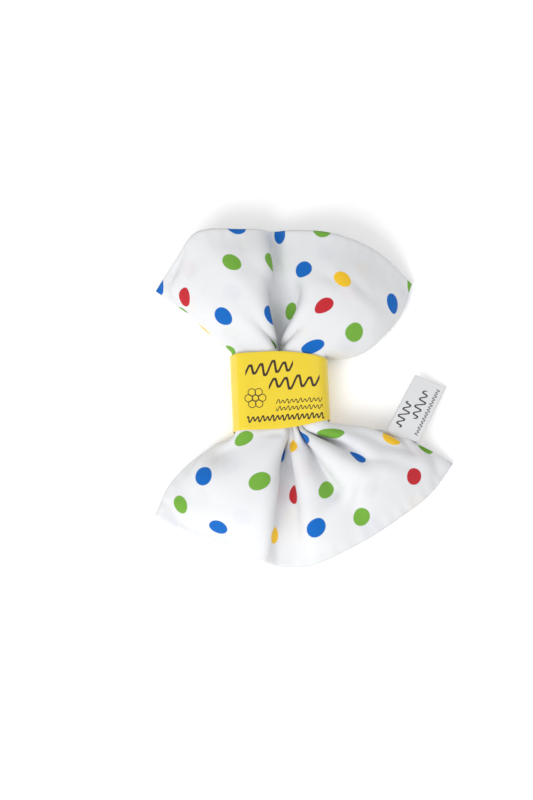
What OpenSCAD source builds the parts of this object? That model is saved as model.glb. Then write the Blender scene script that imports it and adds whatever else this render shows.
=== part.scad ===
// Baby crinkle cloth: a square cloth pouch with a crinkle film inside, pleated at its
// waist and held there by a card belly band, with a woven label in its edge seam.
// Millimetres. +Z is up, +Y runs along the pleats to the upper wing, +X to the label.
// The origin is the middle of the band's flat back, on the surface the toy lies on.

/* [Belly band] */
// Width across the pleats, outside
band_w = 42; // [40:1:48]
// Height, outside
band_h = 17; // [15:1:20]
// Length along the pleats, at its full-width end
band_len = 33; // [30:1:34]
// Length along the pleats of the narrower glued end
band_end_len = 27; // [22:1:30]
// Thickness of the card
card_t = 0.4; // [0.3:0.05:0.6]

/* [Cloth] */
// Thickness of the cotton panels
cloth_t = 0.5; // [0.3:0.05:0.6]
// Thickness of the crinkle film
film_t = 0.16; // [0.1:0.02:0.2]
// Air that the film holds between the panels, on each side
loft = 1.6; // [0.8:0.2:2.0]
// How far the film stops short of the seam, as a share of the width
film_inset = 0.06; // [0.04:0.01:0.1]

/* [Label] */
// Width along the seam
label_w = 15; // [10:1:15]
// Free length of the folded label
label_len = 29; // [20:1:32]
// Thickness of one layer of the tape
tape_t = 0.25; // [0.2:0.05:0.4]
// Droop of the label from the seam, in degrees
label_droop = 10; // [8:1:12]
// Lean of the label along the seam, towards the wing's corner, in degrees
label_lean = 8; // [0:1:10]

/* [Stitching] */
// Sewing thread diameter
thread_d = 0.25; // [0.2:0.05:0.3]
// Stitch pitch
stitch_pitch = 4; // [3:0.5:6]

/* [Hidden] */

mid_z = band_h / 2;      // height of the pleats' middle
waist_end = 8.5;         // half length of the cloth that stays in the waist
edge_gap = 0.4;          // half gap between the panels at their seam
across = 24;             // mesh cells across a wing
along = 10;              // mesh cells along a wing
eps = 0.0001;

// Rows of points across the cloth, left seam to right seam, one every eighth of its width.
// Each wing has four rows: inside the band, just outside it, half way, and its hem.
function neck_row(y, bow, lift, half) = [
    for (i = [0:8]) [
        half * (i - 4) / 4,
        y - sign(y) * bow * abs(i - 4) / 4,
        mid_z + lift * [-0.5, 0.7, 1, 0.5, -0.8, 0.5, 1, 0.7, -0.5][i]
    ]
];
upper_rows = [
    neck_row(10.5, 0, 2.2, 17.5),
    neck_row(19, 1.5, 2.5, 18.5),
    [[-34, 32, 4], [-29, 38, 16], [-20, 41, 24], [-9, 42, 21], [0, 42, 8],
     [10, 41, 20], [23, 38, 24], [36, 33, 17], [46, 27, 6]],
    [[-51, 48, 1], [-43, 60, 12], [-32.5, 70.5, 21], [-16, 70, 19], [0, 68.5, 10],
     [14, 68, 19], [29, 64.5, 21], [45, 57, 13], [58.5, 46, 2.5]]
];
lower_rows = [
    neck_row(-10.5, 0, 2.2, 17.5),
    neck_row(-19, 1.5, 2.5, 18.5),
    [[-35, -28, 4], [-31, -35, 14], [-22, -39, 18], [-11, -41, 18], [0, -42, 7],
     [9, -42, 15], [21, -39, 17], [36, -33, 18], [46, -20, 11]],
    [[-55, -50, 1], [-39, -60, 6], [-24, -65, 9], [-11, -72, 10], [3, -74.5, 4],
     [17, -73, 9], [32, -64.5, 10], [52, -52, 9], [72.5, -33.5, 1]]
];

// A smooth line through four points, at share f of the span from b to c.
function smooth(a, b, c, d, f) =
    0.5 * (2 * b + (c - a) * f + (2 * a - 5 * b + 4 * c - d) * f ^ 2
           + (3 * b - a - 3 * c + d) * f ^ 3);
// The point at share s of a row of points.
function on_row(p, s) = let (
    n = len(p) - 1,
    x = min(s * n, n - eps),
    i = floor(x)
) smooth(p[max(i - 1, 0)], p[i], p[i + 1], p[min(i + 2, n)], x - i);
// The cloth's middle surface: share u across a wing from the left, share v from waist to hem.
function cloth(rows, u, v) = on_row([for (row = rows) on_row(row, u)], v);
// Half the gap between the two panels: closed along the seams, open to the waist.
function half_gap(u, v) =
    edge_gap + loft * pow(max(sin(180 * u), 0), 0.5) * sqrt(max(1 - v ^ 4, 0))
    * min(1, 0.2 + 1.6 * v);

// A layer of the pouch between heights lo(u, v) and hi(u, v) from the middle surface, given as
// a share of the half gap and an added height.
module layer(rows, u0, u1, v0, v1, lo, hi, nu = across, nv = along) {
    function point(i, j, k) = let (
        u = u0 + (u1 - u0) * i / nu,
        v = v0 + (v1 - v0) * j / nv
    ) cloth(rows, u, v) + [0, 0, k[0] * half_gap(u, v) + k[1]];
    function id(i, j, side) = side * (nu + 1) * (nv + 1) + j * (nu + 1) + i;
    turned = cloth(rows, 0.5, 1)[1] < 0;  // a lower wing's rows run the other way round
    function facing(f) = turned ? f : [f[2], f[1], f[0]];
    points = [for (k = [lo, hi]) for (j = [0:nv]) for (i = [0:nu]) point(i, j, k)];
    faces = [
        for (j = [0:nv - 1]) for (i = [0:nu - 1]) each [
            [id(i, j, 0), id(i + 1, j, 0), id(i + 1, j + 1, 0)],
            [id(i, j, 0), id(i + 1, j + 1, 0), id(i, j + 1, 0)],
            [id(i, j, 1), id(i + 1, j + 1, 1), id(i + 1, j, 1)],
            [id(i, j, 1), id(i, j + 1, 1), id(i + 1, j + 1, 1)]
        ],
        for (i = [0:nu - 1]) each [
            [id(i, 0, 0), id(i + 1, 0, 1), id(i + 1, 0, 0)],
            [id(i, 0, 0), id(i, 0, 1), id(i + 1, 0, 1)],
            [id(i, nv, 0), id(i + 1, nv, 0), id(i + 1, nv, 1)],
            [id(i, nv, 0), id(i + 1, nv, 1), id(i, nv, 1)]
        ],
        for (j = [0:nv - 1]) each [
            [id(0, j, 0), id(0, j + 1, 0), id(0, j + 1, 1)],
            [id(0, j, 0), id(0, j + 1, 1), id(0, j, 1)],
            [id(nu, j, 0), id(nu, j + 1, 1), id(nu, j + 1, 0)],
            [id(nu, j, 0), id(nu, j, 1), id(nu, j + 1, 1)]
        ]
    ];
    polyhedron(points, [for (f = faces) facing(f)]);
}

module front_panel(rows) {
    color("white") layer(rows, 0, 1, 0, 1, [1, 0], [1, cloth_t]);
}

module back_panel(rows) {
    color("white") layer(rows, 0, 1, 0, 1, [-1, -cloth_t], [-1, 0]);
}

module crinkle_film(rows) {
    color("gainsboro")
        layer(rows, film_inset, 1 - film_inset, 0, 1 - film_inset,
              [0, -film_t / 2], [0, film_t / 2]);
}

// One stitch: a length of thread from a to b.
module stitch(a, b) {
    d = b - a;
    translate(a) rotate([0, acos(d[2] / norm(d)), atan2(d[1], d[0])])
        cylinder(h = norm(d), d = thread_d, $fn = 16);
}

// Stitches between the panels along one line, given as points of the middle surface.
module stitch_line(p) {
    for (i = [0:len(p) - 2])
        stitch(p[i] + (p[i + 1] - p[i]) * 0.1, p[i] + (p[i + 1] - p[i]) * 0.9);
}

seam_in = 0.02;  // the seam's distance from the edge, as a share of the width
module seam_stitches(rows) {
    sides = round(45 / stitch_pitch);
    hem = round(140 / stitch_pitch);
    color("whitesmoke") {
        for (u = [seam_in, 1 - seam_in])
            stitch_line([for (i = [0:sides]) cloth(rows, u, 0.36 + 0.58 * i / sides)]);
        stitch_line([for (i = [0:hem]) cloth(rows, 0.04 + 0.92 * i / hem, 1 - seam_in)]);
    }
}

// The whipped stitches that close the gap the pouch was turned through, over the panels' edges.
module closing_stitches() {
    count = 9;
    hook = 0.9;
    color("white") for (i = [0:count - 1]) {
        p = cloth(upper_rows, 1, 0.6 + 0.3 * i / count);
        q = cloth(upper_rows, 1, 0.6 + 0.3 * (i + 0.5) / count);
        out = [0.25, -0.2, 0];
        stitch(p + out + [0, 0, -hook], q + out + [0, 0, hook]);
    }
}

// The pleated cloth inside the band, as straight waves with no wing on them.
waist_wave = [-2.2, 2.6, 4.2, 1.4, -3.4, 1.4, 4.2, 2.6, -2.2];
waist_half = 17.5;
module waist_layer(lo, hi) {
    steps = 48;
    function mid(i) = on_row([
        for (k = [0:8]) [waist_half * (k - 4) / 4, mid_z + waist_wave[k]]
    ], i / steps);
    rotate([90, 0, 0]) linear_extrude(height = 2 * waist_end, center = true) polygon([
        for (i = [0:steps]) mid(i) + [0, lo],
        for (i = [steps:-1:0]) mid(i) + [0, hi]
    ]);
}

waist_gap = 0.7;
module front_panel_waist() {
    color("white") waist_layer(waist_gap, waist_gap + cloth_t);
}

module back_panel_waist() {
    color("white") waist_layer(-waist_gap - cloth_t, -waist_gap);
}

module crinkle_film_waist() {
    color("gainsboro") waist_layer(-film_t / 2, film_t / 2);
}

// A rounded box outline inset by t, creased on the left and rounded on the right.
crease_r = 1.6;
round_r = 6.5;
module sleeve_outline(t) {
    function arc(cx, cy, r, from) =
        [for (a = [0:10:90]) [cx + (r - t) * cos(from + a), cy + (r - t) * sin(from + a)]];
    left = -band_w / 2;
    right = band_w / 2;
    polygon(concat(
        arc(right - round_r, round_r, round_r, -90),
        arc(right - round_r, band_h - round_r, round_r, 0),
        arc(left + crease_r, band_h - crease_r, crease_r, 90),
        arc(left + crease_r, crease_r, crease_r, 180)
    ));
}

glue_t = 0.1;
lap = [-13, 3];  // the lap across the band's back, from the inner end to the outer end
module belly_band() {
    lap_z = card_t + glue_t;
    taper = (band_len - band_end_len) / 2;
    color("gold") difference() {
        rotate([90, 0, 0]) linear_extrude(height = band_len, center = true) {
            difference() {
                sleeve_outline(0);
                sleeve_outline(card_t);
                translate([lap[1], -1]) square([0.4, 3]);
            }
            translate([lap[0], lap_z]) square([lap[1] - lap[0], card_t]);
            translate([lap[1], lap_z]) square([card_t + 0.4, card_t]);
            translate([lap[1] + 0.4, card_t / 2]) square([card_t, lap_z + card_t / 2]);
        }
        for (side = [-1, 1]) scale([1, side, 1])
            translate([band_w / 2, band_len / 2, -1]) linear_extrude(height = band_h + 2)
                polygon([[-10, 0.01], [-8, -0.2 * taper], [-5, -0.7 * taper], [-2.5, -taper],
                         [1, -taper], [1, 1]]);
    }
}

module band_glue_strip() {
    color("ivory") translate([lap[0] + 1, -band_end_len / 2 + 2, card_t])
        cube([lap[1] - lap[0] - 4, band_end_len - 4, glue_t]);
}

// The label lies in its own frame: X along the seam, Y outwards, Z up.
label_seam = [0.65, 0.8];  // where it is caught in the lower wing's right seam
label_a = cloth(lower_rows, 1, label_seam[0]);
label_b = cloth(lower_rows, 1, label_seam[1]);
label_x = (label_b - label_a) / norm(label_b - label_a);
label_flat = cross([0, 0, 1], label_x) / norm(cross([0, 0, 1], label_x));
label_up = cross(label_x, label_flat);
label_y = label_flat * cos(label_droop) - label_up * sin(label_droop);
label_z = cross(label_x, label_y);
label_origin = (label_a + label_b) / 2;
module in_label_frame() {
    multmatrix([
        [label_x[0], label_y[0], label_z[0], label_origin[0]],
        [label_x[1], label_y[1], label_z[1], label_origin[1]],
        [label_x[2], label_y[2], label_z[2], label_origin[2]],
        [0, 0, 0, 1]
    ]) children();
}

label_clear = 0.8;  // the free label starts this far out from the seam
module label_outline(near, far) {
    half = label_w / 2;
    lean = tan(label_lean);
    polygon([[-half + near * lean, near], [half + near * lean, near],
             [half + far * lean, far], [-half + far * lean, far]]);
}

module side_label() {
    fold = 0.3;
    color("white") in_label_frame() {
        for (bottom = [-fold / 2 - tape_t, fold / 2])
            translate([0, 0, bottom]) linear_extrude(height = tape_t)
                label_outline(label_clear, label_len);
        translate([0, 0, -fold / 2 - tape_t]) linear_extrude(height = fold + 2 * tape_t)
            label_outline(label_len, label_len + tape_t);
    }
}

module label_sewn_end() {
    color("white") layer(lower_rows, 1 - seam_in / 2, 1, label_seam[0], label_seam[1],
                         [0, -0.26], [0, -0.02], 2, 3);
}

belly_band();
band_glue_strip();
front_panel_waist();
back_panel_waist();
crinkle_film_waist();
front_panel(upper_rows);  // front_panel_upper_wing
back_panel(upper_rows);  // back_panel_upper_wing
crinkle_film(upper_rows);  // crinkle_film_upper_wing
seam_stitches(upper_rows);  // seam_stitches_upper_wing
closing_stitches();
front_panel(lower_rows);  // front_panel_lower_wing
back_panel(lower_rows);  // back_panel_lower_wing
crinkle_film(lower_rows);  // crinkle_film_lower_wing
seam_stitches(lower_rows);  // seam_stitches_lower_wing
side_label();
label_sewn_end();
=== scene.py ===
"""Looks for the crinkle cloth: a dotted cotton pouch with a film inside, gathered by a card band.

The pouch is a square of cloth. Each point of it has a place (s, t) on the flat cut, in
millimetres from its middle: s runs across the pleats and t along them, t > 0 in the upper wing.
Rows of points place its pleats, a cloth simulation settles the sheet around them, and the panels,
the film, the seam and the printed dots all follow the result.
"""

import math

import bpy
import numpy as np
from mathutils import Matrix, Vector, noise


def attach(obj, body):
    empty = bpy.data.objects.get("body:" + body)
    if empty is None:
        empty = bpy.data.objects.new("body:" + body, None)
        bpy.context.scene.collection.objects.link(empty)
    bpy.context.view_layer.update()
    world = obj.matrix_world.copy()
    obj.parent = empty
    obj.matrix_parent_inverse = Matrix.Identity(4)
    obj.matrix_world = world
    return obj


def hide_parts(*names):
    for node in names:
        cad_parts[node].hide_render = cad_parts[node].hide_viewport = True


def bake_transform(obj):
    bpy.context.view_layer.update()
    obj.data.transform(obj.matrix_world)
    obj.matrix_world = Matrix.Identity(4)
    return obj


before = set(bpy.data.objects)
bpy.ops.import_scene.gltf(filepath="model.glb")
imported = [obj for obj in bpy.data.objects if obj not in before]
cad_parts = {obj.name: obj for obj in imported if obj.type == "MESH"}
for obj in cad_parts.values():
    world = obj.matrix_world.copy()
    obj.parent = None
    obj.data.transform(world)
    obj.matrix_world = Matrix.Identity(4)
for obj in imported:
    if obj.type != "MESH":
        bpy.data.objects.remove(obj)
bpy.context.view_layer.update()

# Lengths are in millimetres, and MM turns them into metres where a piece is made.
MM = 0.001
HALF = 76.0           # half the side of the square cut
FINE = 1.0            # spacing of the finished cloth's points
BAND_MOUTH = 17.0     # the cloth is held by the band up to this far from its middle
BAND_HEIGHT = 17.0    # from the table to the top of the card
BAND_HALF_WIDTH = 21.0
CARD = 0.4            # thickness of the band's card


# ---------------------------------------------------------------- the gathered sheet

EARLY_BY = 2.8        # how much sooner the cloth leaves the band at the card's narrow end
EARLY_FROM = 6.0      # the x from which it does so
EARLY_OVER = 13.0     # and how far along it has grown to that much

# The pleats inside the band: (s, x, z) from the left seam to the right.
UPPER_MOUTH = [(-76, -6, 3), (-63, -18.2, 3.2), (-52, -18.6, 13.6), (-43, -11, 14.6),
               (-34, -1.8, 14.4), (-23, -1.4, 3.4), (-11, -0.6, 7), (0, 0.2, 3), (11, 1, 7),
               (23, 1.9, 3.4), (34, 2.4, 14.4), (43, 11, 14.6), (52, 18.6, 13.6),
               (63, 18.2, 3.2), (76, 6, 3)]
LOWER_MOUTH = [(-76, -9, 3), (-66, -18.2, 3.2), (-55, -18.6, 13.6), (-44, -8, 14.6),
               (-33, 2.2, 14.6), (-22.5, 2.7, 3.6), (-12.5, 3.6, 12.6), (-2.5, 4.4, 3.4),
               (8, 5.6, 14.4), (18.5, 6.8, 3.8), (28.5, 8, 13), (39, 9.2, 3.6),
               (50, 10.4, 14.4), (59, 18.6, 13.6), (70, 18.6, 3.4), (76, 13, 3)]


def early(x):
    """How much sooner the cloth leaves the band, where the card is cut narrower."""
    return EARLY_BY * max((x - EARLY_FROM) / EARLY_OVER, 0) ** 1.5


# Rows of the gathered sheet: t, then (s, x, y, z) from the left seam to the right.
ROWS = [
    (-76, [(-76, -56, -50, 1.5), (-54.5, -37.5, -60, 5), (-41.5, -25, -63.8, 6),
           (-29, -14.3, -70.5, 8), (-24, -10.3, -72, 9), (-19, -8.3, -73.3, 6),
           (-14, -4.3, -74.3, 2), (-5, 5, -75.2, 1.8), (0, 10, -75.2, 3),
           (4.5, 14.3, -74, 7.5), (18, 29.5, -67.2, 8), (37, 46, -58, 7),
           (57, 62, -46.6, 5), (76, 72.9, -33.3, 1.5)]),
    (-56, [(-76, -48, -36, 2.5), (-60, -39.5, -44.5, 9), (-44, -24, -51, 15),
           (-31, -12, -55, 17), (-24, -6, -56, 16.5), (-19, -7, -56.5, 7), (-11, 0, -57, 5),
           (-4, 7.6, -57, 6), (0, 7.6, -56, 12.5), (9, 15.5, -53, 13), (20, 26, -48.5, 13.5),
           (30, 32, -45, 15.5), (44, 43, -38, 16), (60, 55, -31, 11), (76, 58.5, -25.3, 7)]),
    (-42, [(-76, -37, -26.5, 3), (-62, -35.5, -32, 9), (-48, -24, -39, 16),
           (-35, -11.5, -42, 19), (-26, -4, -43, 18), (-21, -5, -43.5, 7), (-13, 0.5, -43.5, 4.5),
           (-6, 6.8, -43.5, 5.5), (-1, 6.4, -43, 14), (6, 12, -42, 15), (16, 22.5, -40.5, 9),
           (22, 24.4, -39, 16.5), (30, 29, -36, 19), (46, 37, -31, 18), (60, 46, -25, 12),
           (76, 46.5, -20.3, 11)]),
    (-30, [(-76, -24, -20, 3), (-65, -28, -22.3, 5), (-57, -25.2, -25, 6.5),
           (-48.5, -19.8, -27.5, 14.5),
           (-41, -12, -29.5, 18), (-31, -1.6, -30, 18), (-26, -2.4, -30, 7), (-17, 0.8, -30, 4),
           (-9, 4.9, -30, 5), (-4, 4.7, -30, 15), (4, 9.6, -30, 14.5), (12, 15.2, -29, 6),
           (19, 15.6, -28.5, 18), (29, 21, -27, 19), (38, 24, -24, 12), (48, 28, -22, 17),
           (60, 34, -19, 13), (76, 36, -17.8, 9)]),
    (-17, [(s, x, early(x) - 17, z) for s, x, z in LOWER_MOUTH]),
    (-8, [(s, x, -8, z) for s, x, z in LOWER_MOUTH]),
    (8, [(s, x, 8, z) for s, x, z in UPPER_MOUTH]),
    (17, [(s, x, 17 - early(x), z) for s, x, z in UPPER_MOUTH]),
    (30, [(-76, -17, 23, 3), (-62, -23, 24, 5), (-50, -24.5, 27, 13), (-40, -17, 29, 19),
          (-28, -8, 29, 20), (-20, -3.2, 28.5, 19), (-14, -3.4, 28.5, 8), (-6, -0.5, 28, 3),
          (5, 4.2, 28, 3.5), (13, 7.4, 28, 8), (19, 7, 28.5, 18), (30, 14, 29, 20),
          (42, 24, 27, 19), (54, 32, 18.5, 13), (64, 32, 14.5, 7), (76, 26, 14.5, 3)]),
    (42, [(-76, -28, 31, 3), (-62, -32, 33, 7), (-50, -30, 37, 15), (-36, -19, 41, 21),
          (-24, -9.5, 41, 22), (-17, -5, 40.5, 20), (-12, -5.4, 40.3, 11), (-4, -0.5, 40, 7),
          (7, 8, 39.5, 8.5), (13, 12, 39, 14), (18, 12, 39, 20), (34, 24, 38, 22),
          (48, 35, 33, 18), (62, 43.5, 23, 10), (76, 41, 20, 3)]),
    (56, [(-76, -39, 38, 2.5), (-60, -40, 45, 9), (-46, -31, 51, 17), (-32, -20, 53, 22),
          (-19, -9, 52.5, 21), (-11.5, -2.6, 52, 19.5), (-6, -2.2, 51, 11), (2, 1.8, 50.5, 9.5),
          (9, 6.5, 50.5, 14), (20, 14, 50, 20), (34, 25, 47, 22), (50, 38, 42, 17),
          (64, 49, 33, 9), (76, 52, 30, 3)]),
    (76, [(-76, -52, 48, 1.5), (-57, -42.5, 59, 10), (-38, -32.5, 70.2, 18), (-19, -13.5, 70, 19),
          (-10.5, -5.2, 70.2, 17), (-4, -2.2, 70.4, 11), (1, 0.8, 70.6, 9), (8, 5, 70, 13),
          (28, 24, 67, 19), (54, 46, 58.2, 12), (76, 59.5, 46, 2.5)]),
]


def through(knots, values, at):
    """A smooth curve that passes through values at knots, read at each of at."""
    knots = np.array(knots, float)
    values = np.array(values, float)
    slope = np.gradient(values, knots, axis=0)
    left = np.clip(np.searchsorted(knots, at, side="right") - 1, 0, len(knots) - 2)
    width = knots[left + 1] - knots[left]
    f = (at - knots[left]) / width
    shape = (-1,) + (1,) * (values.ndim - 1)
    f, width = f.reshape(shape), width.reshape(shape)
    return ((1 + 2 * f) * (1 - f) ** 2 * values[left] + f * (1 - f) ** 2 * width * slope[left]
            + f * f * (3 - 2 * f) * values[left + 1]
            + f * f * (f - 1) * width * slope[left + 1])


def steps(first, last, spacing):
    """Even steps from first to last, as near to spacing apart as fits."""
    return np.linspace(first, last, round((last - first) / spacing) + 1)


def gathered_target(at):
    """Where the gathered sheet's points would like to be: an array [t, s, xyz] in mm."""
    rows = [through([p[0] for p in row], [p[1:] for p in row], at) for _, row in ROWS]
    return through([t for t, _ in ROWS], rows, at)


def grid_faces(rows, columns):
    """The faces of a grid of points, listed row by row."""
    return [(j * columns + i, j * columns + i + 1, (j + 1) * columns + i + 1, (j + 1) * columns + i)
            for j in range(rows - 1) for i in range(columns - 1)]


def new_object(name, points, faces):
    """A mesh object, in metres, in the scene."""
    mesh = bpy.data.meshes.new(name)
    mesh.from_pydata([tuple(p) for p in points], [], faces)
    mesh.update()
    piece = bpy.data.objects.new(name, mesh)
    bpy.context.scene.collection.objects.link(piece)
    return piece


# ---------------------------------------------------------------- settling the sheet

GRID = 2.0            # spacing of the simulated sheet's points; it starts at twice this
COARSE_ROUNDS = 500
FINE_ROUNDS = 40
THREAD_STRETCH = 0.9  # how much the cloth resists being stretched along its threads
THREAD_SQUEEZE = 0.1  # and being squeezed along them
SHEAR = 0.25
SHEAR_SQUEEZE = SHEAR / 5
BENDING = ((2, 0.1), (4, 0.05))   # stiffness between points so many spacings apart
LOOSE_HOLD = 0.06     # how firmly the settling cloth keeps to its target, each round
MOUTH_HOLD = 0.3      # the same, added right outside the band
MOUTH_FADE = 9.0      # how far out of the band that fades away
EDGE_HOLD = 0.25      # the same, added along the seam
TABLE_CLEAR = 1.6     # lowest height of the sheet's middle, with half a pouch below it
SHEET_ROOM = 1.2      # the sheet keeps this far from the card, as the panels lie round it


def draw_together(a, b, length, stretch, squeeze):
    """Moves two sets of points so that each pair comes nearer to length apart. Cloth resists
    being stretched more than being squeezed, because it can buckle."""
    count = [min(n, m) for n, m in zip(a.shape[:2], b.shape[:2])]
    a = a[:count[0], :count[1]]
    b = b[:count[0], :count[1]]
    apart = b - a
    distance = np.linalg.norm(apart, axis=2, keepdims=True) + 1e-9
    share = np.where(distance > length, stretch, squeeze) / 2
    move = share * (distance - length) / distance * apart
    a += move
    b -= move


def settle(points, target, hold, rounds):
    """A cloth simulation by position-based dynamics: threads keep their length, the sheet resists
    shear and bending, hold draws each point to its target, and the table is below."""
    count = len(points)
    spacing = 2 * HALF / (count - 1)
    gripped = hold >= 1
    for _ in range(rounds):
        for o in (0, 1):
            draw_together(points[:, o::2], points[:, o + 1::2], spacing,
                          THREAD_STRETCH, THREAD_SQUEEZE)
            draw_together(points[o::2], points[o + 1::2], spacing,
                          THREAD_STRETCH, THREAD_SQUEEZE)
            for p in (0, 1):
                draw_together(points[o::2, p::2], points[o + 1::2, p + 1::2],
                              spacing * 2 ** 0.5, SHEAR, SHEAR_SQUEEZE)
                draw_together(points[o::2, p + 1::2], points[o + 1::2, p::2],
                              spacing * 2 ** 0.5, SHEAR, SHEAR_SQUEEZE)
        for reach, stiffness in BENDING:
            for o in range(2 * reach):
                draw_together(points[:, o::2 * reach], points[:, o + reach::2 * reach],
                              spacing * reach, stiffness, stiffness)
                draw_together(points[o::2 * reach], points[o + reach::2 * reach],
                              spacing * reach, stiffness, stiffness)
        points += hold[..., None] * (target - points)
        points[..., 2] = np.maximum(points[..., 2], TABLE_CLEAR)
        points[gripped] = target[gripped]
    return points


def refined(grid, spacing):
    """The same surface with its points spacing apart."""
    at = steps(-HALF, HALF, 2 * HALF / (len(grid) - 1))
    finer = steps(-HALF, HALF, spacing)
    rows = through(at, grid, finer)
    return through(at, rows.swapaxes(0, 1), finer).swapaxes(0, 1)


def evened(grid, passes):
    """The grid with its smallest wrinkles rubbed out."""
    for _ in range(passes):
        soft = grid.copy()
        soft[1:-1] += 0.25 * (grid[:-2] - 2 * grid[1:-1] + grid[2:])
        soft[:, 1:-1] += 0.25 * (grid[:, :-2] - 2 * grid[:, 1:-1] + grid[:, 2:])
        grid = soft
    return grid


def gathered_sheet():
    """The settled sheet, as an array [t, s, xyz] of points FINE apart."""
    coarse = steps(-HALF, HALF, 2 * GRID)
    fine = steps(-HALF, HALF, GRID)
    points = gathered_target(coarse)
    points = settle(points, gathered_target(coarse), hold_of(coarse), COARSE_ROUNDS)
    points = settle(refined(points, GRID), gathered_target(fine), hold_of(fine), FINE_ROUNDS)
    return inside_band(refined(evened(points, 2), FINE), steps(-HALF, HALF, FINE), SHEET_ROOM)


def hold_of(at):
    """How firmly each point keeps to its target: all the way in the band, loosely elsewhere."""
    t = np.abs(at)[:, None] + np.zeros(len(at))
    s = t.T
    hold = LOOSE_HOLD + MOUTH_HOLD * np.clip(1 - (t - BAND_MOUTH) / MOUTH_FADE, 0, 1) ** 2
    hold[np.maximum(s, t) > HALF - 1] += EDGE_HOLD
    hold[t <= BAND_MOUTH] = 1
    return hold


# ---------------------------------------------------------------- the pouch

COTTON = 0.35         # thickness of one panel
COTTON_ROOM = 0.4     # a panel keeps this far from the card
COTTON_LOWEST = 0.3   # and this far from the table
SEAM_GAP = 0.2        # half the gap between the panels at their seam
ROLL = 0.45           # half the height that the rolled edge adds
ROLL_WIDTH = 2.5
LOFT = 1.0            # half the height that the film's springiness adds
LOFT_WIDTH = 20.0     # from the seam to full loft
LOFT_LENGTH = 30.0    # from the band to full loft
CRINKLE = 0.55        # height of the film's dents
CRINKLE_WIDTH = 17.0  # their size across the pleats
CRINKLE_LENGTH = 21.0     # and along them
NOISE_APART = 3.7     # how far each panel's dents lie from the middle of the noise
PUCKER = 0.3          # height of the puckers along the seam
PUCKER_LENGTH = 6.5
FRONT_DIP = 0.4       # how far the card's front lies below BAND_HEIGHT at its edges


def normals_of(grid):
    """The sheet's unit normals, evened so that panels laid off it stay smooth."""
    across = np.gradient(grid, axis=1)
    along = np.gradient(grid, axis=0)
    normal = np.cross(across, along)
    normal = evened(normal, 4)
    return normal / (np.linalg.norm(normal, axis=2, keepdims=True) + 1e-9)


def eased(x):
    """A soft step from 0 to 1 as x goes from 0 to 1."""
    x = np.clip(x, 0, 1)
    return x * x * (3 - 2 * x)


def seam_distance(s, t):
    """How far a place on the cut is from the seam round its edge."""
    return HALF - np.maximum(np.abs(s), np.abs(t))


def half_gap(s, t):
    """Half the distance between the two panels: rolled at the seam, lofted by the film within,
    and pressed flat in the band."""
    d = seam_distance(s, t)
    rolled = np.sqrt(1 - (1 - np.clip(d / ROLL_WIDTH, 0, 1)) ** 2)
    free = eased((np.abs(t) - BAND_MOUTH + 4) / LOFT_LENGTH)
    return SEAM_GAP + ROLL * rolled + LOFT * eased(d / LOFT_WIDTH) * free


def crinkles(s, t, side):
    """Small dents that the stiff film presses into a panel, and puckers along the seam."""
    out = np.zeros(s.shape)
    free = eased((np.abs(t) - BAND_MOUTH) / 14)
    d = seam_distance(s, t)
    for j in range(s.shape[0]):
        for i in range(s.shape[1]):
            place = Vector((s[j, i] / CRINKLE_WIDTH, t[j, i] / CRINKLE_LENGTH, NOISE_APART * side))
            out[j, i] = noise.noise(place) + 0.5 * noise.noise(place * 2.3)
    along_edge = np.where(np.abs(s) > np.abs(t), t, s)
    puckers = np.sin(along_edge * 2 * math.pi / PUCKER_LENGTH + 3 * out)
    puckers = puckers * np.exp(-d / 3.5) * eased(d / 1.5)
    return free * (CRINKLE * out * eased(d / 12) + PUCKER * puckers)


def inside_band(points, rows, room):
    """Keeps the rows of cloth within the band at least room from the card's walls."""
    held = eased((BAND_MOUTH + 4 - np.abs(rows)) / 3)[:, None]
    wall_x = BAND_HALF_WIDTH - CARD - room
    low, high = CARD * 2 + room, BAND_HEIGHT - CARD - FRONT_DIP - room
    middle = (low + high) / 2
    reach = (high - low) / 2
    z = middle + np.clip(points[..., 2] - middle, -reach, reach)
    boxed = points.copy()
    boxed[..., 0] = np.clip(points[..., 0], -wall_x, wall_x)
    boxed[..., 2] = z
    return points + held[..., None] * (boxed - points)


def cotton_panel(name, sheet, normals, side, upper):
    """Half of one panel: side 1 is the printed front that faces up, -1 the back."""
    at = steps(-HALF, HALF, FINE)
    kept = at >= 0 if upper else at <= 0
    s, t = np.meshgrid(at, at[kept])
    lift = half_gap(s, t) + crinkles(s, t, side)
    points = sheet[kept] + side * normals[kept] * lift[..., None]
    points = inside_band(points, at[kept], COTTON_ROOM)
    points[..., 2] = np.maximum(points[..., 2], COTTON_LOWEST)
    faces = grid_faces(*s.shape)
    if side < 0:
        faces = [face[::-1] for face in faces]
    panel = new_object(name, points.reshape(-1, 3) * MM, faces)
    mark_places(panel, np.stack([s, t, np.zeros(s.shape)], axis=2))
    thicken(panel, COTTON, -1)
    apply_modifiers(panel)
    shade_smooth(panel)
    bend_at_mouth(panel)
    return panel


def bend_at_mouth(piece):
    """Makes the piece's placing in the scene part of its own mesh."""
    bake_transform(piece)


def mark_places(piece, places):
    """Gives each point its place on the flat cut, which the materials read."""
    cut = piece.data.attributes.new("cut", "FLOAT_VECTOR", "POINT")
    cut.data.foreach_set("vector", np.array(places, np.float32).ravel())


def thicken(piece, thickness, offset=0):
    """Gives a piece's faces a thickness: half to each side, or all inwards if offset is -1."""
    solidify = piece.modifiers.new("thickness", "SOLIDIFY")
    solidify.thickness = thickness * MM
    solidify.offset = offset


def apply_modifiers(piece):
    """Makes what the modifiers show the piece's own mesh."""
    evaluated = piece.evaluated_get(bpy.context.evaluated_depsgraph_get())
    mesh = bpy.data.meshes.new_from_object(evaluated)
    piece.modifiers.clear()
    piece.data = mesh


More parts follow.
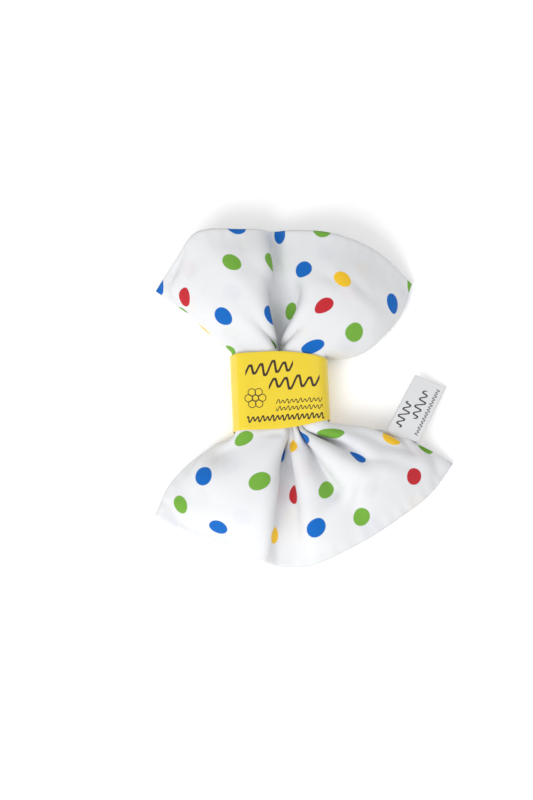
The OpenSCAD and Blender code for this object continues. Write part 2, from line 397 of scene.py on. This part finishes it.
def shade_smooth(piece):
    """Shades a piece's faces as one smooth surface."""
    piece.data.polygons.foreach_set("use_smooth", [True] * len(piece.data.polygons))


# ---------------------------------------------------------------- film, thread and label

FILM = 0.16           # thickness of the film
FILM_INSET = 9.0      # how far it is cut short of the seam
FILM_WAVE = 0.12      # height of its small waves
FILM_WAVELENGTH = 6.0

THREAD = 0.12         # radius of the sewing thread
STITCH = 3.0          # stitch length along the seam
STITCH_OPEN = 0.06    # the share of a stitch's length that is left open at each end
SEAM_IN = 3.0         # the seam's distance from the edge
SEAM_START = 26.0     # where the seam's stitches begin, clear of the band
CLOSING_FROM = 46.0   # the turning gap in the upper wing's right side, sewn shut by hand
CLOSING_TO = 68.0
CLOSING_STITCHES = 10
CLOSING_IN = 1.3      # how far from the edge a hand stitch goes through the cloth
CLOSING_REACH = 1.55  # how far outwards it swings from there
CLOSING_RISE = 0.85   # how high it stands on each side

LABEL_WIDTH = 15.0
LABEL_LENGTH = 29.0   # free length of the folded tape
LABEL_FOLD = 0.42     # half the height of its soft fold
LABEL_SWELL = 0.5     # how much its two layers part half way along, as a share
LABEL_WAVE = 0.25
LABEL_CURL = 0.004
LABEL_DROOP = 10      # degrees down from level
LABEL_LEAN = 11       # degrees that the tape leans along the seam
LABEL_START = 0.4     # the free tape starts this far out of the seam
LABEL_SEAM = (-55.0, -40.0)       # where the seam holds it: from t to t, on the right side
TAPE = 0.22           # thickness of one layer
TUCK = (2.4, 1.2, 0.2)            # lines of its sewn end, by their distance from the edge
TUCK_APART = 0.13     # half the distance between its two layers in the seam


def crinkle_film(name, sheet, normals, upper):
    """The stiff film between the panels, cut short of the seam."""
    at = steps(-HALF, HALF, FINE)
    within = np.abs(at) <= HALF - FILM_INSET
    kept = (at >= 0 if upper else at <= 0) & within
    s, t = np.meshgrid(at[within], at[kept])
    wave = np.zeros(s.shape)
    for j in range(s.shape[0]):
        for i in range(s.shape[1]):
            place = Vector((s[j, i] / FILM_WAVELENGTH, t[j, i] / FILM_WAVELENGTH, 9))
            wave[j, i] = noise.noise(place)
    here = np.ix_(kept, within)
    points = sheet[here] + normals[here] * FILM_WAVE * wave[..., None]
    film = new_object(name, points.reshape(-1, 3) * MM, grid_faces(*s.shape))
    thicken(film, FILM)
    apply_modifiers(film)
    shade_smooth(film)
    bend_at_mouth(film)
    return film


def tube(path, radius, sides=6):
    """Points and faces of a closed round tube along a path."""
    path = [Vector(p) for p in path]
    points = []
    faces = []
    for i, centre in enumerate(path):
        along = (path[min(i + 1, len(path) - 1)] - path[max(i - 1, 0)]).normalized()
        out = along.orthogonal().normalized()
        if i:
            out = (last_out - along * last_out.dot(along)).normalized()
        last_out = out
        other = along.cross(out)
        for k in range(sides):
            turn = 2 * math.pi * k / sides
            points.append(centre + radius * (math.cos(turn) * out + math.sin(turn) * other))
        if i:
            base = (i - 1) * sides
            faces += [(base + k, base + (k + 1) % sides, base + sides + (k + 1) % sides,
                       base + sides + k) for k in range(sides)]
    faces.append(tuple(range(sides))[::-1])
    end = (len(path) - 1) * sides
    faces.append(tuple(end + k for k in range(sides)))
    return points, faces


def joined(name, parts):
    """One object from several (points, faces) pairs."""
    points = []
    faces = []
    for part_points, part_faces in parts:
        base = len(points)
        points += part_points
        faces += [tuple(base + k for k in face) for face in part_faces]
    return new_object(name, points, faces)


def on_sheet(grid, s, t):
    """The point of the gathered sheet at the place (s, t) of the cut."""
    i = min(max((s + HALF) / FINE, 0), len(grid) - 1.001)
    j = min(max((t + HALF) / FINE, 0), len(grid) - 1.001)
    a, b = int(i), int(j)
    f, g = i - a, j - b
    near = grid[b, a] * (1 - f) + grid[b, a + 1] * f
    far = grid[b + 1, a] * (1 - f) + grid[b + 1, a + 1] * f
    return Vector(near * (1 - g) + far * g)


def seam_thread(name, sheet, upper):
    """The lock stitches that join the panels round a wing's three free edges."""
    turn = 1 if upper else -1
    line = HALF - SEAM_IN
    route = [(-line, turn * t) for t in steps(SEAM_START, line, STITCH)]
    route += [(s, turn * line) for s in steps(-line, line, STITCH)]
    route += [(line, turn * t) for t in steps(line, SEAM_START, -STITCH)]
    parts = []
    for (s, t), (s2, t2) in zip(route, route[1:]):
        a, b = on_sheet(sheet, s, t), on_sheet(sheet, s2, t2)
        if (b - a).length > 0.1:
            middle = (a + b) / 2
            stitch = [a.lerp(b, STITCH_OPEN), middle, a.lerp(b, 1 - STITCH_OPEN)]
            points, faces = tube([p * MM for p in stitch], THREAD * MM)
            parts.append((points, faces))
    thread = joined(name, parts)
    shade_smooth(thread)
    bend_at_mouth(thread)
    return thread


def closing_thread(sheet, normals):
    """Oblique whip stitches over the edge where the pouch was turned and closed."""
    parts = []
    pitch = (CLOSING_TO - CLOSING_FROM) / CLOSING_STITCHES
    for k in range(CLOSING_STITCHES):
        t = CLOSING_FROM + k * pitch
        path = []
        for share in steps(0, 1, 0.125):
            swing = math.pi * (share - 0.5)
            s = HALF - CLOSING_IN + CLOSING_REACH * math.cos(swing)
            here = on_sheet(sheet, min(s, HALF), t + share * pitch * 0.5)
            up = on_sheet(normals, min(s, HALF), t)
            inward = (here - on_sheet(sheet, HALF - 2, t)).normalized()
            over = max(s - HALF, 0) + THREAD
            rise = (CLOSING_RISE + THREAD) * math.sin(swing)
            path.append((here + up * rise + inward * over) * MM)
        parts.append(tube(path, THREAD * MM))
    thread = joined("closing_thread", parts)
    shade_smooth(thread)
    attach(thread, "upper_wing")
    return thread


def label_frame(sheet):
    """The label's own axes: X along the seam, Y outwards, Z up, in metres."""
    near = on_sheet(sheet, HALF, LABEL_SEAM[1])
    far = on_sheet(sheet, HALF, LABEL_SEAM[0])
    x = (far - near).normalized()
    level = Vector((0, 0, 1)).cross(x).normalized()
    up = x.cross(level)
    droop = math.radians(LABEL_DROOP)
    y = level * math.cos(droop) - up * math.sin(droop)
    z = x.cross(y)
    place = Matrix((x, y, z)).transposed().to_4x4()
    place.translation = (near + far) / 2 * MM
    return place


def side_label(sheet):
    """Printed satin tape folded in half: two layers and a soft fold at the free end."""
    fold = LABEL_FOLD
    lean = math.tan(math.radians(LABEL_LEAN))
    profile = [(y, -fold) for y in steps(LABEL_START, LABEL_LENGTH - fold, 0.5)]
    profile += [(LABEL_LENGTH - fold + fold * math.cos(a), fold * math.sin(a))
                for a in steps(-math.pi / 2, math.pi / 2, math.pi / 10)[1:-1]]
    profile += [(y, fold) for y in steps(LABEL_START, LABEL_LENGTH - fold, 0.5)[::-1]]
    across = steps(-LABEL_WIDTH / 2, LABEL_WIDTH / 2, 0.5)
    points = []
    places = []
    for y, z in profile:
        open_up = 1 + LABEL_SWELL * math.sin(math.pi * y / LABEL_LENGTH)
        for x in across:
            wave = LABEL_WAVE * math.sin(y / 7 + 0.6) * math.sin(x / 5 + 1)
            curl = LABEL_CURL * x * x * y / LABEL_LENGTH
            points.append(Vector((x + y * lean, y, z * open_up + wave + curl)))
            places.append((x, y, 1 if z > 0 else -1))
    label = new_object("side_label_tape", [p * MM for p in points],
                       grid_faces(len(profile), len(across)))
    mark_places(label, places)
    thicken(label, TAPE)
    apply_modifiers(label)
    shade_smooth(label)
    label.data.transform(label_frame(sheet))
    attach(label, "label")
    return label


def label_end(sheet):
    """The tape's two ends where the seam holds them, between the panels."""
    across = steps(*LABEL_SEAM, 1)
    parts = []
    for side in (-1, 1):
        layer = Vector((0, 0, TUCK_APART * side))
        points = []
        for t in across:
            for inward in TUCK:
                points.append((on_sheet(sheet, HALF - inward, t) + layer) * MM)
        parts.append((points, grid_faces(len(across), len(TUCK))))
    end = joined("label_seam_end", parts)
    thicken(end, TAPE)
    apply_modifiers(end)
    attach(end, "lower_wing")
    return end


# ---------------------------------------------------------------- the belly band

BAND_HALF_LENGTH = 16.5   # along the pleats, at the card's wide left end
BAND_NARROWING = 3.4  # how much shorter the half length is at its right end
NARROW_CURVE = 1.7
NARROW_START = 3.0    # how far left of the middle the narrowing starts
BAND_CORNER = 6.5     # radius of the bend at the right
BAND_BOW = 0.3        # how much the front's edges bow outwards
BAND_DIP = 0.25       # how much the card curves down towards its edges
CARD_GRID = 0.5       # spacing of its points round the band
EDGE_ROUND = 0.06     # radius of the card's cut edge
FRONT_ABOVE = 9.0     # the printed front is the card above this height


def band_profile():
    """The card strip's middle line round the pleats, from the inner end of the lap at the back,
    round the right end, over the front, down the creased left side to the lap's outer end."""
    half = CARD / 2
    top = BAND_HEIGHT - half - 0.15
    right = BAND_HALF_WIDTH - half
    left = -right
    inner = CARD + 0.1 + half
    corner = BAND_CORNER
    line = [(-13, inner), (-6, inner), (1.5, inner), (3.4, inner - 0.1), (4.6, half + 0.1),
            (6, half), (right - corner, half)]
    line += [(right - corner + corner * math.sin(a), corner - corner * math.cos(a) + half)
             for a in steps(0.2, math.pi / 2, 0.2)]
    line += [(right - corner + corner * math.cos(a), top - 0.5 - corner + corner * math.sin(a))
             for a in steps(0, math.pi / 2 - 0.15, 0.2)]
    line += [(8, top - 0.08), (0, top + 0.12), (-9, top + 0.05), (-16.8, top - 0.25),
             (-17.9, top - 0.75), (-18.6, top - 1.9)]
    line += [(left + 0.6, 11.5), (left, 7.5), (left + 0.5, 3.4), (left + 1.5, 1.2),
             (left + 3, half + 0.06), (left + 5, half), (-8, half), (-2, half), (3, half)]
    return line


def along_line(line, spacing):
    """Points spacing apart on a smooth curve through a line's points, and their arc lengths."""
    line = np.array(line, float)
    arc = np.concatenate([[0], np.cumsum(np.linalg.norm(np.diff(line, axis=0), axis=1))])
    at = steps(0, arc[-1], spacing)
    return through(arc, line, at), at


def band_half_length(x):
    """The card's half length along the pleats: cut narrower towards the rounded right end."""
    taper = max(x + NARROW_START, 0) / (BAND_HALF_WIDTH + NARROW_START)
    return BAND_HALF_LENGTH - BAND_NARROWING * taper ** NARROW_CURVE


def belly_band():
    """The card wrapped round the waist: its profile swept along the pleats."""
    points_2d, arc = along_line(band_profile(), CARD_GRID)
    top_middle = arc[np.argmin(np.abs(points_2d[:, 0]) + 100 * (points_2d[:, 1] < 10))]
    shares = steps(-1, 1, 1 / 14)
    points = []
    places = []
    for (x, z), a in zip(points_2d, arc):
        upper_face = float(eased(np.array((z - 8) / 8)))
        bow = BAND_BOW * upper_face * (1 - (x / BAND_HALF_WIDTH) ** 2)
        half_length = band_half_length(x) + bow
        for share in shares:
            y = share * half_length
            dip = BAND_DIP * upper_face * share ** 2
            points.append((x * MM, y * MM, (z - dip) * MM))
            places.append((top_middle - a, y, 1 if z > FRONT_ABOVE else 0))
    band = new_object("card_band", points, grid_faces(len(points_2d), len(shares)))
    mark_places(band, places)
    thicken(band, CARD)
    bevel = band.modifiers.new("edge", "BEVEL")
    bevel.width = EDGE_ROUND * MM
    bevel.segments = 2
    bevel.limit_method = "ANGLE"
    bevel.angle_limit = math.radians(60)
    apply_modifiers(band)
    shade_smooth(band)
    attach(band, "band")
    return band


# ---------------------------------------------------------------- materials

def shown(red, green, blue):
    """A colour given as it looks on screen, from 0 to 255, as linear values."""
    def linear(level):
        level /= 255
        return level / 12.92 if level <= 0.04045 else ((level + 0.055) / 1.055) ** 2.4
    return (linear(red), linear(green), linear(blue), 1)


class Shader:
    """A new material's node tree, with short calls for the nodes that its patterns need."""

    def __init__(self, name):
        self.material = bpy.data.materials.new(name)
        self.material.use_nodes = True
        self.nodes = self.material.node_tree.nodes
        self.links = self.material.node_tree.links
        self.surface = self.nodes["Principled BSDF"]

    def node(self, kind, **settings):
        """A new node of a kind, with its settings."""
        made = self.nodes.new(kind)
        for name, value in settings.items():
            setattr(made, name, value)
        return made

    def put(self, socket, value):
        """Links another node's output to a socket, or sets a plain value on it."""
        if isinstance(value, bpy.types.NodeSocket):
            self.links.new(value, socket)
        else:
            socket.default_value = value

    def calc(self, operation, a, b=0.0):
        """The result of a Math node."""
        made = self.node("ShaderNodeMath", operation=operation)
        self.put(made.inputs[0], a)
        self.put(made.inputs[1], b)
        return made.outputs[0]

    def place(self):
        """Where a point lies on the flat cut."""
        return self.node("ShaderNodeAttribute", attribute_name="cut").outputs["Vector"]

    def parts(self, vector):
        """A vector's three parts."""
        made = self.node("ShaderNodeSeparateXYZ")
        self.put(made.inputs[0], vector)
        return made.outputs

    def flat(self, vector):
        """The vector without its third part."""
        made = self.node("ShaderNodeCombineXYZ")
        x, y = self.parts(vector)[:2]
        self.put(made.inputs[0], x)
        self.put(made.inputs[1], y)
        return made.outputs[0]

    def distance(self, vector, point):
        """How far a vector is from a point."""
        made = self.node("ShaderNodeVectorMath", operation="DISTANCE")
        self.put(made.inputs[0], vector)
        made.inputs[1].default_value = point
        return made.outputs["Value"]

    def below(self, value, limit, soft):
        """1 where value is under limit, 0 where it is over, with a soft step between."""
        made = self.node("ShaderNodeMapRange", interpolation_type="SMOOTHSTEP")
        self.put(made.inputs["Value"], value)
        made.inputs["From Min"].default_value = limit - soft
        made.inputs["From Max"].default_value = limit + soft
        made.inputs["To Min"].default_value = 1
        made.inputs["To Max"].default_value = 0
        return made.outputs["Result"]

    def mix(self, share, first, second):
        """The first colour, with a share of the second."""
        made = self.node("ShaderNodeMix", data_type="RGBA")
        self.put(made.inputs["Factor"], share)
        self.put(made.inputs[6], first)
        self.put(made.inputs[7], second)
        return made.outputs[2]

    def noise(self, vector, scale, detail=3):
        """A cloudy pattern from 0 to 1."""
        made = self.node("ShaderNodeTexNoise")
        self.put(made.inputs["Vector"], vector)
        made.inputs["Scale"].default_value = scale
        made.inputs["Detail"].default_value = detail
        return made.outputs["Fac"]

    def bump(self, height, strength, distance):
        """Lets a pattern's height catch the light on the surface."""
        made = self.node("ShaderNodeBump")
        self.put(made.inputs["Height"], height)
        made.inputs["Strength"].default_value = strength
        made.inputs["Distance"].default_value = distance
        self.put(self.surface.inputs["Normal"], made.outputs["Normal"])

    def weave(self, vector, pitch):
        """A plain weave's height: threads pitch apart that pass over and under each other."""
        s, t = self.parts(vector)[:2]
        turn = math.pi / pitch
        warp = self.calc("ABSOLUTE", self.calc("SINE", self.calc("MULTIPLY", s, turn)))
        weft = self.calc("ABSOLUTE", self.calc("SINE", self.calc("MULTIPLY", t, turn)))
        return self.calc("MULTIPLY", warp, weft)


BLUE = shown(0, 99, 186)
GREEN = shown(112, 168, 60)
RED = shown(190, 38, 48)
YELLOW = shown(242, 194, 42)
INK = shown(52, 34, 12)
LABEL_INK = shown(48, 46, 46)
WEAVE = 0.42          # distance from thread to thread of the cotton
SATIN = 0.25          # and of the label's tape
DOT_RADIUS = 4.0
DOT_EDGE = 0.18       # softness of a printed edge
BLURRED_EDGE = 1.4    # softness of a dot that shows through a panel
PEN_EDGE = 0.06       # softness of a pen line
PEN_SLANT = 0.2       # how far the pen loops lean

# The print: rows of dots, each row further along than the last, that stand off it a little.
DOT_ORDER = (BLUE, GREEN, RED, GREEN, BLUE, YELLOW)
ORDER_STEP = 3        # how far the order of colours moves on from row to row
DOT_COLUMNS = 7
DOT_ROWS = 9
DOT_SPACING = 24.0    # from dot to dot along a row
ROW_SPACING = 20.0    # from row to row
ROW_STEP = 10.0       # how much further along a row starts than the one before it
DOT_WANDER = 3.0      # how far a dot stands off its even place
WANDER_ALONG = (2.4, 1.7)     # how the wander along a row turns with column and row
WANDER_ACROSS = (1.9, 2.9)    # and across it
FRONT_START = (6.0, -3.0)     # where the front panel's cut begins in the print
BACK_START = (15.0, 6.0)      # the back panel is cut from elsewhere on the same cloth
SEEN_THROUGH = 0.05   # how strongly the other panel's print shows through


def print_of(start):
    """The print on a cut that begins at start: each colour with its dots' places (s, t)."""
    length = DOT_COLUMNS * DOT_SPACING
    centres = {colour: [] for colour in DOT_ORDER}
    for row in range(DOT_ROWS):
        for column in range(DOT_COLUMNS):
            along = start[0] + column * DOT_SPACING + row * ROW_STEP
            across = start[1] + (row - (DOT_ROWS - 1) / 2) * ROW_SPACING
            turn_s = WANDER_ALONG[0] * column + WANDER_ALONG[1] * row
            turn_t = WANDER_ACROSS[0] * column + WANDER_ACROSS[1] * row
            s = along % length - length / 2 + DOT_WANDER * math.sin(turn_s)
            t = across + DOT_WANDER * math.sin(turn_t)
            colour = DOT_ORDER[(column + ORDER_STEP * row) % len(DOT_ORDER)]
            centres[colour].append((s, t))
    return centres.items()


def dots(shader, cloth, colour, place, centres, soft, strength):
    """Prints a colour's dots over cloth and returns the printed colour."""
    nearest = None
    for s, t in centres:
        away = shader.distance(place, (s, t, 0))
        nearest = away if nearest is None else shader.calc("MINIMUM", nearest, away)
    share = shader.calc("MULTIPLY", shader.below(nearest, DOT_RADIUS, soft), strength)
    return shader.mix(share, cloth, colour)


def printed_cotton(name, start, start_behind):
    """Cotton with its own panel's print, and faintly that of the panel behind it."""
    shader = Shader(name)
    place = shader.place()
    patches = shader.noise(place, 0.05)
    cloth = shader.mix(patches, shown(221, 222, 225), shown(228, 229, 231))
    for colour, centres in print_of(start_behind):
        cloth = dots(shader, cloth, colour, place, centres, BLURRED_EDGE, SEEN_THROUGH)
    for colour, centres in print_of(start):
        cloth = dots(shader, cloth, colour, place, centres, DOT_EDGE, 1)
    weave = shader.weave(place, WEAVE)
    fleck = shader.noise(place, 2.2, 2)
    tint = shader.calc("ADD", shader.calc("MULTIPLY", fleck, 0.06), 0.955)
    shaded = shader.node("ShaderNodeVectorMath", operation="SCALE")
    shader.put(shaded.inputs[0], cloth)
    shader.put(shaded.inputs["Scale"], tint)
    shader.put(shader.surface.inputs["Base Color"], shaded.outputs[0])
    shader.surface.inputs["Roughness"].default_value = 0.82
    shader.surface.inputs["Sheen Weight"].default_value = 0.08
    shader.surface.inputs["Sheen Roughness"].default_value = 0.5
    shader.surface.inputs["Specular IOR Level"].default_value = 0.25
    shader.bump(weave, 0.35, 0.0001)
    return shader.material


def film_material():
    """Milky plastic film with fine creases."""
    shader = Shader("crinkle_film")
    shader.surface.inputs["Roughness"].default_value = 0.25
    place = shader.node("ShaderNodeTexCoord").outputs["Object"]
    cloudy = shader.noise(place, 120)
    shader.put(shader.surface.inputs["Base Color"],
               shader.mix(cloudy, shown(224, 227, 230), shown(240, 242, 244)))
    shader.bump(shader.noise(place, 300, 5), 0.4, 0.0003)
    return shader.material


def thread_material():
    """Twisted white thread."""
    shader = Shader("sewing_thread")
    place = shader.node("ShaderNodeTexCoord").outputs["Object"]
    shader.put(shader.surface.inputs["Base Color"],
               shader.mix(shader.noise(place, 900), shown(235, 235, 236), shown(250, 250, 250)))
    shader.surface.inputs["Roughness"].default_value = 0.6
    shader.surface.inputs["Sheen Weight"].default_value = 0.2
    twist = shader.node("ShaderNodeTexWave")
    shader.put(twist.inputs["Vector"], place)
    twist.inputs["Scale"].default_value = 1500
    shader.bump(twist.outputs["Fac"], 0.5, 0.00005)
    return shader.material


def scribble(shader, place, middle, slope, length, height, wave, stroke):
    """A mask of one row of pen loops round middle, as tall as height and length long, that
    leans by slope. It stands where the real print has words, and says nothing."""
    x, y = shader.parts(place)[:2]
    x = shader.calc("SUBTRACT", x, middle[0])
    y = shader.calc("SUBTRACT", shader.calc("SUBTRACT", y, middle[1]),
                    shader.calc("MULTIPLY", x, slope))
    leaning = shader.calc("SUBTRACT", x, shader.calc("MULTIPLY", y, PEN_SLANT))
    line = None
    rise = None
    for share, speed in ((0.8, 1), (0.25, 0.6)):
        turn = shader.calc("MULTIPLY", leaning, speed * 2 * math.pi / wave)
        high = shader.calc("MULTIPLY", shader.calc("SINE", turn), share * height / 2)
        steep = shader.calc("MULTIPLY", shader.calc("COSINE", turn),
                            share * speed * math.pi * height / wave)
        line = high if line is None else shader.calc("ADD", line, high)
        rise = steep if rise is None else shader.calc("ADD", rise, steep)
    away = shader.calc("ABSOLUTE", shader.calc("SUBTRACT", y, line))
    slant = shader.calc("ADD", shader.calc("MULTIPLY", rise, rise), 1)
    thin = shader.calc("DIVIDE", away, shader.calc("SQRT", slant))
    inside = shader.below(shader.calc("ABSOLUTE", x), length / 2, 0.1)
    return shader.calc("MULTIPLY", shader.below(thin, stroke / 2, PEN_EDGE), inside)


# Rows of pen loops on the band and the label: middle, slope, length, height, wave, stroke.
BAND_MARKS = (
    ((-4.2, 9.5), 0.08, 20.5, 5.4, 4.9, 1.05),
    ((6.2, 3.0), 0.03, 22, 5.2, 5.1, 1.05),
    ((8, -5.0), 0.02, 20, 1.7, 1.9, 0.4),
    ((8, -8.0), 0.02, 20, 1.7, 1.8, 0.4),
    ((2, -12), 0.02, 33, 2.0, 2.1, 0.72),
)
LABEL_MARKS = (
    ((-4.2, 10.2), 0, 12.4, 3.6, 3.4, 0.68),
    ((0.5, 16.9), 0, 14, 3.6, 3.6, 0.68),
    ((4.9, 14.8), 0, 23, 1.3, 1.5, 0.38),
)


def marked(shader, place, marks):
    """A mask of several rows of pen loops."""
    mask = None
    for mark in marks:
        row = scribble(shader, place, *mark)
        mask = row if mask is None else shader.calc("MAXIMUM", mask, row)
    return mask


def flower(shader, place, middle, size):
    """A small drawing: a ring of petals round a dot."""
    def ring(point, radius, stroke):
        from_point = shader.distance(shader.flat(place), (*point, 0))
        away = shader.calc("ABSOLUTE", shader.calc("SUBTRACT", from_point, radius))
        return shader.below(away, stroke / 2, PEN_EDGE)
    mask = ring(middle, size * 0.25, 0.35)
    for k in range(6):
        turn = 2 * math.pi * k / 6
        petal = (middle[0] + size * 0.58 * math.cos(turn), middle[1] + size * 0.58 * math.sin(turn))
        mask = shader.calc("MAXIMUM", mask, ring(petal, size * 0.31, 0.35))
    return mask


def card_material():
    """Satin yellow card, marked on its front face."""
    shader = Shader("yellow_card")
    place = shader.place()
    face = shader.parts(place)[2]
    mask = shader.calc("MAXIMUM", marked(shader, place, BAND_MARKS),
                       flower(shader, place, (-10.6, -3.2), 5.0))
    mask = shader.calc("MULTIPLY", mask, shader.calc("GREATER_THAN", face, 0.5))
    tone = shader.mix(shader.noise(place, 0.12), shown(229, 198, 24), shown(236, 211, 50))
    shader.put(shader.surface.inputs["Base Color"], shader.mix(mask, tone, INK))
    shader.surface.inputs["Roughness"].default_value = 0.38
    shader.surface.inputs["Coat Weight"].default_value = 0.15
    shader.surface.inputs["Coat Roughness"].default_value = 0.3
    shader.bump(shader.noise(place, 1.4, 4), 0.08, 0.0001)
    return shader.material


def tape_material():
    """White satin tape, marked along its length on its upper layer."""
    shader = Shader("label_satin")
    place = shader.place()
    s, t = shader.parts(place)[:2]
    turned = shader.node("ShaderNodeCombineXYZ")
    shader.put(turned.inputs[0], t)
    shader.put(turned.inputs[1], s)
    rows = [((m[0][1], m[0][0]), *m[1:]) for m in LABEL_MARKS]
    mask = marked(shader, turned.outputs[0], rows)
    face = shader.parts(place)[2]
    mask = shader.calc("MULTIPLY", mask, shader.calc("GREATER_THAN", face, 0))
    shader.put(shader.surface.inputs["Base Color"],
               shader.mix(mask, shown(224, 225, 227), LABEL_INK))
    shader.surface.inputs["Roughness"].default_value = 0.5
    shader.surface.inputs["Sheen Weight"].default_value = 0.2
    shader.bump(shader.weave(place, SATIN), 0.3, 0.00006)
    return shader.material


def glue_material():
    """Dried glue, a little yellow."""
    shader = Shader("dried_glue")
    place = shader.node("ShaderNodeTexCoord").outputs["Object"]
    shader.put(shader.surface.inputs["Base Color"],
               shader.mix(shader.noise(place, 200), shown(230, 226, 205), shown(242, 240, 226)))
    shader.surface.inputs["Roughness"].default_value = 0.3
    return shader.material


def paint(piece, material):
    """Gives a piece its only material."""
    piece.data.materials.clear()
    piece.data.materials.append(material)


# ---------------------------------------------------------------- the toy

sheet = gathered_sheet()
normals = normals_of(sheet)

front_cotton = printed_cotton("front_cotton", FRONT_START, BACK_START)
back_cotton = printed_cotton("back_cotton", BACK_START, FRONT_START)
film_plastic = film_material()
thread_finish = thread_material()
tape_finish = tape_material()

for upper, wing in ((True, "upper"), (False, "lower")):
    for side, face, cotton in ((1, "front", front_cotton), (-1, "back", back_cotton)):
        panel = cotton_panel(f"{face}_cotton_{wing}", sheet, normals, side, upper)
        paint(panel, cotton)
        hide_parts(f"{face}_panel_{wing}_wing", *([f"{face}_panel_waist"] * upper))
    film = crinkle_film(f"film_{wing}", sheet, normals, upper)
    paint(film, film_plastic)
    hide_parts(f"crinkle_film_{wing}_wing", *(["crinkle_film_waist"] * upper))
    thread = seam_thread(f"seam_thread_{wing}", sheet, upper)
    paint(thread, thread_finish)
    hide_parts(f"seam_stitches_{wing}_wing")

closing = closing_thread(sheet, normals)
paint(closing, thread_finish)
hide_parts("closing_stitches")

band = belly_band()
paint(band, card_material())
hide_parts("belly_band")
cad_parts["band_glue_strip"].data.materials.clear()
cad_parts["band_glue_strip"].data.materials.append(glue_material())

label = side_label(sheet)
paint(label, tape_finish)
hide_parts("side_label")
sewn_end = label_end(sheet)
paint(sewn_end, tape_finish)
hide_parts("label_sewn_end")


# ---------------------------------------------------------------- floor, light and camera

# These are in metres and degrees.
FLOOR_HALF = 1.5
FLOOR_HEIGHT = -0.0002    # just under the toy, so that no face lies in the floor's plane
CAMERA_AWAY = 0.9
CAMERA_ELEVATION = 82
CAMERA_ROLL = 2.5     # how far the pleats lean to the left in the picture
CAMERA_LENS = 94      # mm
LOOK_AT = (-0.006, -0.003, 0.008)
SKY = 0.66            # strength of the white light from all round


def floor():
    """A white floor that glows a little, so that it shows as plain white."""
    size = FLOOR_HALF
    low = FLOOR_HEIGHT
    ground = new_object("floor", [(-size, -size, low), (size, -size, low), (size, size, low),
                                  (-size, size, low)], [(0, 1, 2, 3)])
    shader = Shader("floor")
    shader.surface.inputs["Base Color"].default_value = (1, 1, 1, 1)
    shader.surface.inputs["Roughness"].default_value = 0.9
    shader.surface.inputs["Specular IOR Level"].default_value = 0.1
    shader.surface.inputs["Emission Color"].default_value = (1, 1, 1, 1)
    shader.surface.inputs["Emission Strength"].default_value = 0.12
    ground.data.materials.append(shader.material)


def soft_light(name, place, size, power):
    """A square softbox that faces the toy."""
    data = bpy.data.lights.new(name, "AREA")
    data.size = size
    data.energy = power
    light = bpy.data.objects.new(name, data)
    light.location = place
    light.rotation_euler = (-Vector(place)).to_track_quat("-Z", "Y").to_euler()
    bpy.context.scene.collection.objects.link(light)


def camera():
    """Looks down on the toy, nearly straight."""
    data = bpy.data.cameras.new("camera")
    data.lens = CAMERA_LENS
    data.clip_start = 0.01
    seen = bpy.data.objects.new("camera", data)
    roll = math.radians(CAMERA_ROLL)
    tilt = math.radians(CAMERA_ELEVATION)
    picture_up = Vector((math.sin(roll), math.cos(roll), 0))
    back = Vector((0, 0, math.sin(tilt))) - picture_up * math.cos(tilt)
    right = picture_up.cross(back).normalized()
    up = back.cross(right)
    place = Matrix((right, up, back)).transposed().to_4x4()
    place.translation = Vector(LOOK_AT) + back * CAMERA_AWAY
    seen.matrix_world = place
    bpy.context.scene.collection.objects.link(seen)
    bpy.context.scene.camera = seen


camera()
floor()
soft_light("key", (-0.3, -0.4, 0.52), 0.45, 3.2)
soft_light("fill", (0.6, 0.3, 0.9), 0.9, 1.2)
world = bpy.data.worlds.new("studio")
world.use_nodes = True
world.node_tree.nodes["Background"].inputs["Color"].default_value = (1, 1, 1, 1)
world.node_tree.nodes["Background"].inputs["Strength"].default_value = SKY
bpy.context.scene.world = world
bpy.context.scene.view_settings.view_transform = "Standard"
